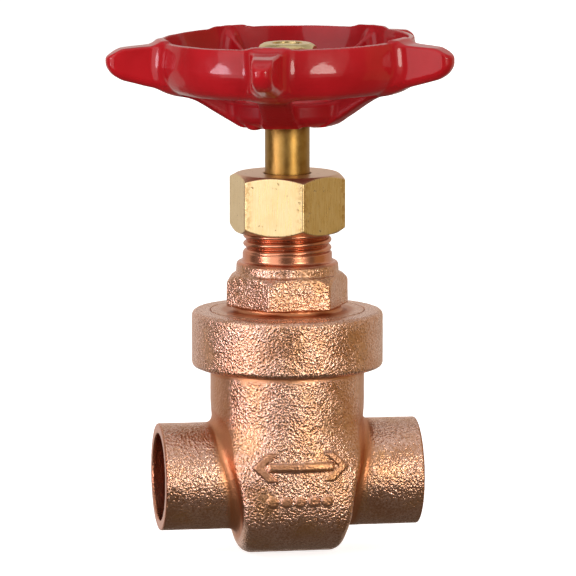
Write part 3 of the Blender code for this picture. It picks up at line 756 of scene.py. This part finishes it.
# ---------------------------------------------------------------- materials
class Shader:
    """One material and the few calls that its node tree needs."""

    def __init__(self, name):
        self.material = bpy.data.materials.new(name)
        self.material.use_nodes = True
        self.tree = self.material.node_tree
        self.surface = self.tree.nodes["Principled BSDF"]
        self.place = self.add("ShaderNodeTexCoord").outputs["Object"]

    def add(self, kind, settings=(), **inputs):
        """New node with those settings. Each input is a value or another node's output, under
        its own name with _ for a space, or i and its number."""
        node = self.tree.nodes.new(kind)
        for name, value in dict(settings).items():
            setattr(node, name, value)
        for name, value in inputs.items():
            self.set(node, name.replace("_", " "), value)
        return node

    def set(self, node, name, value):
        """Links or sets one input."""
        numbered = name[0] == "i" and name[1:].isdigit()
        socket = node.inputs[int(name[1:]) if numbered else name]
        if isinstance(value, bpy.types.NodeSocket):
            self.tree.links.new(value, socket)
        else:
            socket.default_value = value

    def noise(self, size, detail=2.0, roughness=0.5, stretch=(1, 1, 1)):
        """Noise from 0 to 1 with features of that size in metres, stretched along each axis."""
        place = self.add("ShaderNodeVectorMath", {"operation": "DIVIDE"}, i0=self.place, i1=stretch)
        made = self.add("ShaderNodeTexNoise", Scale=1 / size, Detail=detail, Roughness=roughness)
        self.set(made, "Vector", place.outputs[0])
        return made.outputs["Fac"]

    def cells(self, size, smooth=0.6):
        """0 in the middles of rounded cells of that size, and up towards their borders."""
        made = self.add("ShaderNodeTexVoronoi", {"feature": "SMOOTH_F1"}, Scale=1 / size, Smoothness=smooth)
        self.set(made, "Vector", self.place)
        return made.outputs["Distance"]

    def math(self, operation, a, b=0.0):
        """One step of arithmetic on two numbers."""
        return self.add("ShaderNodeMath", {"operation": operation}, i0=a, i1=b).outputs[0]

    def between(self, value, low, high, start=0.0, end=1.0):
        """start below low, end above high, smooth between them."""
        made = self.add("ShaderNodeMapRange", {"interpolation_type": "SMOOTHSTEP"})
        for name, number in (("Value", value), ("From Min", low), ("From Max", high)):
            self.set(made, name, number)
        self.set(made, "To Min", start)
        self.set(made, "To Max", end)
        return made.outputs["Result"]

    def mix(self, share, first, second):
        """Colour between two others."""
        made = self.add("ShaderNodeMix", {"data_type": "RGBA"}, i0=share, i6=first, i7=second)
        return made.outputs[2]

    def blend(self, share, first, second):
        """Number between two others."""
        made = self.add("ShaderNodeMix", {"data_type": "FLOAT"}, i0=share, i2=first, i3=second)
        return made.outputs[0]

    def attribute(self, name):
        """The number painted on the mesh under that name."""
        return self.add("ShaderNodeAttribute", {"attribute_name": name}).outputs["Fac"]

    def bump(self, height, depth, under=None):
        """Surface direction for a relief that deep, on top of another."""
        made = self.add("ShaderNodeBump", Strength=1.0, Distance=depth, Height=height)
        if under is not None:
            self.set(made, "Normal", under)
        return made.outputs["Normal"]

    def finish(self, **inputs):
        """Sets the surface's inputs and gives the finished material."""
        for name, value in inputs.items():
            self.set(self.surface, name.replace("_", " "), value)
        return self.material


def cast_bronze():
    """Rough cast skin with stains and tarnish, painted paler on the peaks of its grain as painted
    highlight and darker in its pits as painted shade. Fillets are smoother and painted a darker
    orange as painted shade in the joins, and cut faces are clean."""
    s = Shader("cast_bronze_look")
    smooth, cut = s.attribute("smooth"), s.attribute("machined")
    grain = s.noise(0.38 * MM, 2.0, 0.5)
    pits = s.cells(0.46 * MM)
    stain = s.noise(5.5 * MM, 3.0, 0.55)
    fine = s.noise(0.16 * MM, 2.0)
    height = s.math("ADD", grain, s.math("MULTIPLY", pits, 0.55))
    calm = s.math("MAXIMUM", s.math("MULTIPLY", smooth, 0.75), s.math("MULTIPLY", cut, 0.97))
    worn = s.between(s.noise(6.5 * MM, 2.0), 0.45, 0.65, 0, 0.25)
    calm = s.math("MAXIMUM", calm, worn)
    height = s.math("MULTIPLY", height, s.math("SUBTRACT", 1.0, calm))
    # Painted highlight and shade: the colour is paler where the grain's bump is high and darker in its
    # pits.
    pale = s.mix(s.between(height, 0.40, 1.0), (0.60, 0.30, 0.17, 1), (0.84, 0.53, 0.41, 1))
    pale = s.mix(s.between(stain, 0.45, 0.75, 0, 0.5), pale, (0.66, 0.34, 0.13, 1))
    tarnish = s.between(s.noise(0.9 * MM, 3.0, 0.6), 0.65, 0.75, 0, 0.6)
    pale = s.mix(tarnish, pale, (0.34, 0.13, 0.05, 1))
    # Painted shade: the smooth joins between castings and the washer face under the hexagon get a darker,
    # redder orange. It stands for shade and orange light reflected in those corners.
    orange = s.mix(fine, (0.52, 0.20, 0.09, 1), (0.62, 0.27, 0.13, 1))
    colour = s.mix(s.between(smooth, 0.6, 0.95), pale, orange)
    colour = s.mix(cut, colour, (0.63, 0.26, 0.15, 1))
    rough = s.blend(smooth, s.between(stain, 0.3, 0.7, 0.19, 0.28), 0.42)
    rough = s.blend(cut, rough, 0.25)
    normal = s.bump(height, 0.19 * MM)
    normal = s.bump(s.math("MULTIPLY", fine, s.math("SUBTRACT", 1.0, cut)), 0.02 * MM, normal)
    return s.finish(Base_Color=colour, Metallic=1.0, Roughness=rough, Normal=normal)


def drawn_brass():
    """Flats drawn lengthwise, with patina along the corners, scratches and small dents. Turned
    faces are redder."""
    s = Shader("packing_nut_look")
    turned, corner = s.attribute("machined"), s.attribute("corner")
    lines = s.noise(0.22 * MM, 3.0, 0.6, stretch=(1, 1, 14))
    cloud = s.noise(3.0 * MM, 4.0, 0.6)
    dings = s.between(s.noise(0.8 * MM, 3.0, 0.6), 0.66, 0.72)
    scratch = s.between(s.noise(0.30 * MM, 3.0, 0.7, stretch=(1, 1, 26)), 0.66, 0.74)
    flat = s.mix(s.between(lines, 0.3, 0.7), (0.74, 0.56, 0.27, 1), (0.86, 0.69, 0.39, 1))
    flat = s.mix(s.between(cloud, 0.4, 0.7, 0, 0.4), flat, (0.70, 0.52, 0.23, 1))
    patina = s.math("MULTIPLY", corner, s.between(s.noise(0.7 * MM, 3.0, 0.6), 0.42, 0.62))
    flat = s.mix(s.math("MULTIPLY", patina, 0.7), flat, (0.52, 0.32, 0.12, 1))
    flat = s.mix(s.math("MULTIPLY", scratch, 0.5), flat, (0.45, 0.31, 0.10, 1))
    colour = s.mix(turned, flat, (0.74, 0.48, 0.30, 1))
    colour = s.mix(s.math("MULTIPLY", dings, 0.8), colour, (0.22, 0.13, 0.05, 1))
    rough = s.blend(turned, s.between(lines, 0.3, 0.7, 0.26, 0.38), 0.36)
    height = s.math("SUBTRACT", s.math("MULTIPLY", lines, 0.25), dings)
    normal = s.bump(height, 0.03 * MM)
    return s.finish(Base_Color=colour, Metallic=1.0, Roughness=rough, Normal=normal)


def turned_brass(name, first, second, roughness):
    """Brass with fine turning lines round the stem's axis."""
    s = Shader(name)
    lines = s.noise(0.16 * MM, 2.0, 0.6, stretch=(60, 60, 1))
    cloud = s.noise(2.2 * MM, 4.0, 0.65)
    marks = s.between(s.noise(0.5 * MM, 3.0, 0.6, stretch=(1, 1, 3)), 0.62, 0.75, 0, 0.6)
    colour = s.mix(s.between(cloud, 0.3, 0.7), first, second)
    colour = s.mix(marks, colour, (0.25, 0.15, 0.06, 1))
    rough = s.between(cloud, 0.3, 0.7, roughness - 0.05, roughness + 0.08)
    return s.finish(
        Base_Color=colour, Metallic=1.0, Roughness=rough, Normal=s.bump(lines, 0.008 * MM)
    )


def red_enamel():
    """Thick glossy enamel with a slight orange peel and dark specks, thin and dull underneath, where its
    colour is painted darker as shade.
    """
    s = Shader("red_enamel_look")
    dull_shaded = s.attribute("underside")
    cloud = s.noise(9 * MM, 3.0)
    peel = s.noise(1.6 * MM, 1.5)
    grit = s.math("MULTIPLY", s.noise(0.35 * MM, 2.0), dull_shaded)
    specks = s.between(s.noise(0.5 * MM, 2.0, 0.6), 0.74, 0.80)
    colour = s.mix(s.between(cloud, 0.3, 0.7), (0.44, 0.006, 0.011, 1), (0.52, 0.009, 0.016, 1))
    # Painted shade: the enamel is darker on the underside and in the windows, where shade falls.
    colour = s.mix(s.math("MULTIPLY", dull_shaded, 0.45), colour, (0.20, 0.004, 0.006, 1))
    colour = s.mix(s.math("MULTIPLY", specks, 0.5), colour, (0.10, 0.004, 0.005, 1))
    height = s.math("SUBTRACT", peel, s.math("MULTIPLY", specks, 0.3))
    height = s.math("ADD", height, s.math("MULTIPLY", grit, 0.8))
    return s.finish(
        Base_Color=colour, Roughness=s.blend(dull_shaded, 0.30, 0.5), Normal=s.bump(height, 0.05 * MM),
        Specular_IOR_Level=0.12, Coat_Weight=s.blend(dull_shaded, 0.50, 0.10),
        Coat_Roughness=s.blend(dull_shaded, 0.06, 0.25), Coat_IOR=1.5,
    )


def graphite():
    """Pressed graphite cord."""
    s = Shader("graphite_look")
    weave = s.noise(0.35 * MM, 3.0, stretch=(1, 1, 0.5))
    colour = s.mix(weave, (0.02, 0.02, 0.02, 1), (0.09, 0.09, 0.09, 1))
    return s.finish(
        Base_Color=colour, Roughness=s.between(weave, 0.3, 0.7, 0.5, 0.75), Metallic=0.2,
        Normal=s.bump(weave, 0.05 * MM),
    )


def fibre():
    """Compressed fibre of the gasket."""
    s = Shader("gasket_look")
    strands = s.noise(0.3 * MM, 4.0, 0.7)
    colour = s.mix(strands, (0.05, 0.13, 0.10, 1), (0.14, 0.27, 0.21, 1))
    return s.finish(Base_Color=colour, Roughness=0.85, Normal=s.bump(strands, 0.04 * MM))


def zinc_steel():
    """Cloudy zinc plating."""
    s = Shader("zinc_steel_look")
    cloud = s.noise(1.2 * MM, 4.0, 0.6)
    colour = s.mix(cloud, (0.50, 0.50, 0.47, 1), (0.72, 0.72, 0.70, 1))
    return s.finish(
        Base_Color=colour, Metallic=1.0, Roughness=s.between(cloud, 0.3, 0.7, 0.28, 0.45),
        Normal=s.bump(s.noise(0.2 * MM, 2.0), 0.01 * MM),
    )


# ---------------------------------------------------------------- pieces
def bevel(node, width):
    """Softens a carried-over CAD piece's edges."""
    step = node.modifiers.new("worn_edges", "BEVEL")
    step.width = width
    step.segments = 2
    step.limit_method = "ANGLE"
    step.angle_limit = math.radians(40)


def make_valve(bronze):
    """Body, bonnet and packing nut, which stand still."""
    body = solid(
        "body_casting", body_distance, "body", BODY_STEP, bronze, "valve", body_relief,
        (("smooth", body_fillets), ("machined", body_machined)),
    )
    bonnet = solid(
        "bonnet_casting", bonnet_distance, "bonnet", BONNET_STEP, bronze, "valve", bonnet_relief,
        (("smooth", bonnet_smooth_and_shade), ("machined", bonnet_machined)),
    )
    nut = solid(
        "packing_nut_brass", packing_nut_distance, "packing_nut", NUT_STEP, drawn_brass(), "valve",
        paint=(("machined", packing_nut_turned), ("corner", packing_nut_corners)),
    )


def make_turning(nut_brass):
    """Handwheel, its nut and the stem, which turn together."""
    turning = "stem_and_handwheel"
    wheel = solid(
        "handwheel_casting", handwheel_distance, "handwheel", WHEEL_STEP, red_enamel(), turning,
        enamel_relief, (("underside", wheel_underside),),
    )
    wheel_nut = solid(
        "handwheel_nut_brass", wheel_nut_distance, "handwheel_nut", WHEEL_NUT_STEP, nut_brass,
        turning,
    )
    brass = turned_brass("stem_brass_look", (0.30, 0.165, 0.040, 1), (0.42, 0.255, 0.072, 1), 0.38)
    stem = column("stem_turned", stem_radius, stem_levels(), STEM_SIDES, brass, turning, "stem")


def dress_kept_nodes(nodes, nut_brass):
    """Materials and softened edges for the inside pieces that stay as the CAD model has them."""
    kept = {"packing_washer": nut_brass, "gland": nut_brass, "wheel_washer": zinc_steel()}
    kept["bonnet_gasket"] = fibre()
    packing = graphite()
    kept.update({f"packing_ring_{k}": packing for k in range(1, 5)})
    kept["wedge"] = turned_brass("wedge_look", (0.58, 0.29, 0.15, 1), (0.70, 0.40, 0.24, 1), 0.3)
    for name, material in kept.items():
        nodes[name].data.materials.clear()
        nodes[name].data.materials.append(material)
        if name != "wedge":
            bevel(nodes[name], 0.08 * MM)


def make_pieces(frame):
    """Everything that belongs to the valve."""
    nut_brass = turned_brass("nut_brass_look", (0.66, 0.50, 0.22, 1), (0.80, 0.64, 0.34, 1), 0.30)
    make_valve(cast_bronze())
    make_turning(nut_brass)
    dress_kept_nodes(frame["nodes"], nut_brass)


# ---------------------------------------------------------------- floor, light and camera
def make_floor():
    """Pale studio sweep: a round floor that curves up into a wall behind the lights."""
    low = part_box("body")[0].z - 0.2 * MM
    turns = 2 * np.pi * np.arange(SWEEP_SIDES) / SWEEP_SIDES
    bends = np.linspace(0, np.pi / 2, SWEEP_STEPS)
    profile = [(FLOOR_RADIUS + SWEEP_BEND * math.sin(a), SWEEP_BEND * (1 - math.cos(a))) for a in bends]
    profile.append((profile[-1][0], WALL_HEIGHT))
    points = [(r * math.cos(a), r * math.sin(a), low + up) for r, up in profile for a in turns]
    around = range(SWEEP_SIDES)
    faces = [tuple(around)]
    for k in range(len(profile) - 1):
        first = k * SWEEP_SIDES
        for a in around:
            b = (a + 1) % SWEEP_SIDES
            faces.append((first + a, first + b, first + SWEEP_SIDES + b, first + SWEEP_SIDES + a))
    mesh = bpy.data.meshes.new("floor")
    mesh.from_pydata(points, [], faces)
    s = Shader("pale_floor")
    s.finish(
        Base_Color=(0.85, 0.85, 0.85, 1), Roughness=0.9, Specular_IOR_Level=0.0,
        Emission_Color=(1, 1, 1, 1), Emission_Strength=0.80,
    )
    mesh.materials.append(s.material)
    made = bpy.data.objects.new("floor", mesh)
    made.visible_glossy = False
    made.visible_diffuse = False
    made.visible_shadow = False
    bpy.context.scene.collection.objects.link(made)


def make_world():
    """Dim studio: darker low down and brighter overhead."""
    world = bpy.data.worlds.new("studio")
    world.use_nodes = True
    tree = world.node_tree
    place = tree.nodes.new("ShaderNodeTexCoord")
    split = tree.nodes.new("ShaderNodeSeparateXYZ")
    ramp = tree.nodes.new("ShaderNodeValToRGB")
    shift = tree.nodes.new("ShaderNodeMapRange")
    tree.links.new(place.outputs["Generated"], split.inputs[0])
    tree.links.new(split.outputs["Z"], shift.inputs["Value"])
    shift.inputs["From Min"].default_value = -1.0
    tree.links.new(shift.outputs["Result"], ramp.inputs["Fac"])
    ramp.color_ramp.elements[0].position = 0.30
    ramp.color_ramp.elements[0].color = (0.13, 0.11, 0.09, 1)
    ramp.color_ramp.elements[1].position = 1.0
    ramp.color_ramp.elements[1].color = (0.36, 0.36, 0.36, 1)
    middle = ramp.color_ramp.elements.new(0.55)
    middle.color = (0.16, 0.14, 0.12, 1)
    tree.links.new(ramp.outputs["Color"], tree.nodes["Background"].inputs["Color"])
    tree.nodes["Background"].inputs["Strength"].default_value = 1.0
    bpy.context.scene.world = world


def outward(azimuth, elevation):
    """Direction away from the valve. Azimuth 0 is in front and positive to the right."""
    flat = math.cos(elevation)
    return Vector((math.sin(azimuth) * flat, -math.cos(azimuth) * flat, math.sin(elevation)))


def softbox(name, azimuth, elevation, width, height, radiance, colour, shape="RECTANGLE"):
    """Area light that looks at the valve. radiance is how bright it looks when seen directly."""
    light = bpy.data.lights.new(name, "AREA")
    light.shape = shape
    light.size, light.size_y = width, height
    area = width * height * (math.pi / 4 if shape == "ELLIPSE" else 1)
    light.energy = radiance * math.pi * area
    light.color = colour
    out = outward(math.radians(azimuth), math.radians(elevation))
    made = bpy.data.objects.new(name, light)
    made.location = LIGHT_TARGET + out * LIGHT_DISTANCE
    made.rotation_mode = "QUATERNION"
    made.rotation_quaternion = out.to_track_quat("Z", "Y")
    bpy.context.scene.collection.objects.link(made)


def make_lights():
    """Two wide softboxes in front, each with a small bright core, and dim ones all round.
    After each name: azimuth, elevation, width, height and radiance."""
    white, cool, pink = (1.0, 1.0, 1.0), (1.0, 0.96, 0.97), (1.0, 0.84, 0.95)
    cream, pale, warm, amber = (1.0, 0.92, 0.86), (1.0, 0.93, 0.84), (1.0, 0.90, 0.78), (1.0, 0.66, 0.20)
    softbox("left_wide", -51, 12, 0.66, 0.95, 1.60, cool)
    softbox("left_core", -70, 1, 0.28, 0.18, 12.0, pink, "ELLIPSE")
    softbox("right_wide", 27, 12, 0.52, 0.90, 0.55, warm)
    softbox("right_core", 22, 4, 0.32, 0.20, 12.0, pale, "ELLIPSE")
    softbox("right_side", 84, 5, 0.60, 0.90, 0.33, amber)
    softbox("back_left", -158, 5, 1.30, 1.10, 0.60, cream)
    softbox("back_right", 132, 5, 0.90, 1.10, 0.48, warm)
    softbox("overhead", 0, 82, 1.10, 1.10, 0.55, white)


def make_camera():
    """Long lens a metre away, from the left and a little above."""
    target = Vector((0, 0, 0.033))
    back = outward(VIEW_AZIMUTH, VIEW_ELEVATION)
    camera = bpy.data.cameras.new("camera")
    camera.sensor_width = 36
    camera.lens = LENS
    camera.shift_x = 0.0012
    camera.shift_y = 0.0130
    camera.clip_start, camera.clip_end = 0.05, 100
    made = bpy.data.objects.new("camera", camera)
    made.location = target + back * VIEW_DISTANCE
    made.rotation_mode = "QUATERNION"
    made.rotation_quaternion = back.to_track_quat("Z", "Y")
    bpy.context.scene.collection.objects.link(made)
    bpy.context.scene.camera = made
    bpy.context.scene.view_settings.view_transform = "Standard"


def main():
    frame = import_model()
    make_pieces(frame)
    make_floor()
    make_world()
    make_lights()
    make_camera()
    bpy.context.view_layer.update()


main()
